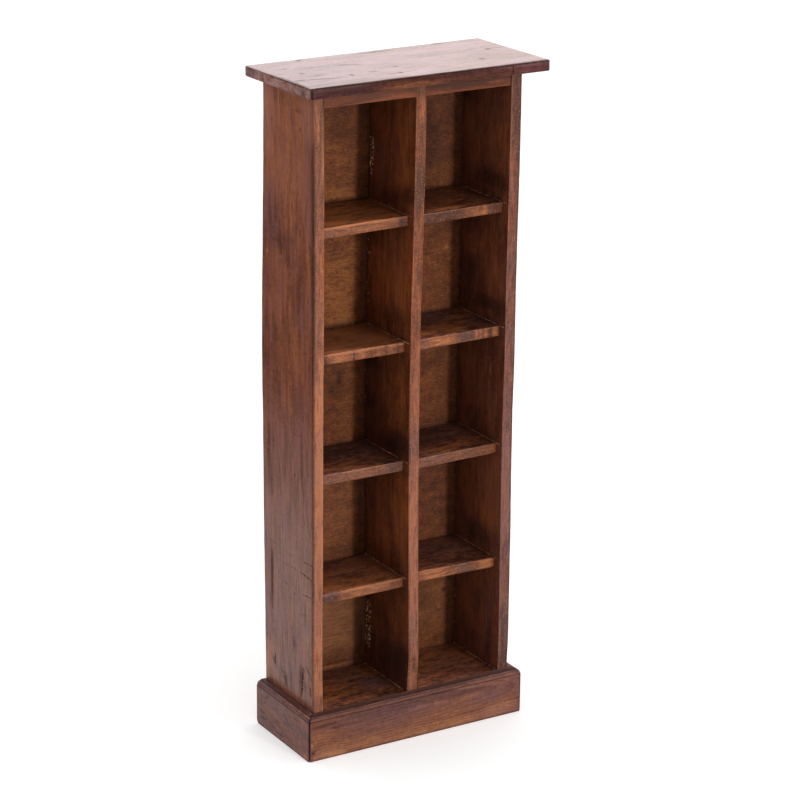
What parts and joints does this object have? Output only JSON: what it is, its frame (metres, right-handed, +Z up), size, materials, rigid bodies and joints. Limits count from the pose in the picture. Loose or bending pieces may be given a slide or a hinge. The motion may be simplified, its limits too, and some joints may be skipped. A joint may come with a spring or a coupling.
{
  "type": "cd rack",
  "caption": "Slim free-standing wooden rack with two columns of open cubbies, an overhanging top board and a moulded plinth.",
  "frame": {"origin": "on the floor under the middle of the rack's overall box", "axes": "+X to the right seen from the front, +Y towards the back, so the open front faces -Y, +Z up"},
  "size_m": [0.386, 0.1806, 1],
  "materials": {
    "top_wood": "satin",
    "side_wood": "satin",
    "divider_wood": "satin",
    "shelf_wood": "satin",
    "back_ply": "matte",
    "plinth_wood": "satin"
  },
  "bodies": {
    "root": {"top_board": "top_wood", "top_rail": "side_wood", "left_side": "side_wood", "right_side": "side_wood", "centre_divider": "divider_wood", "shelf_left_1": "shelf_wood", "shelf_left_2": "shelf_wood", "shelf_left_3": "shelf_wood", "shelf_left_4": "shelf_wood", "shelf_right_1": "shelf_wood", "shelf_right_2": "shelf_wood", "shelf_right_3": "shelf_wood", "shelf_right_4": "shelf_wood", "floor_board": "shelf_wood", "back_panel": "back_ply", "plinth_front": "plinth_wood", "plinth_left": "plinth_wood", "plinth_right": "plinth_wood"}
  },
  "joints": []
}
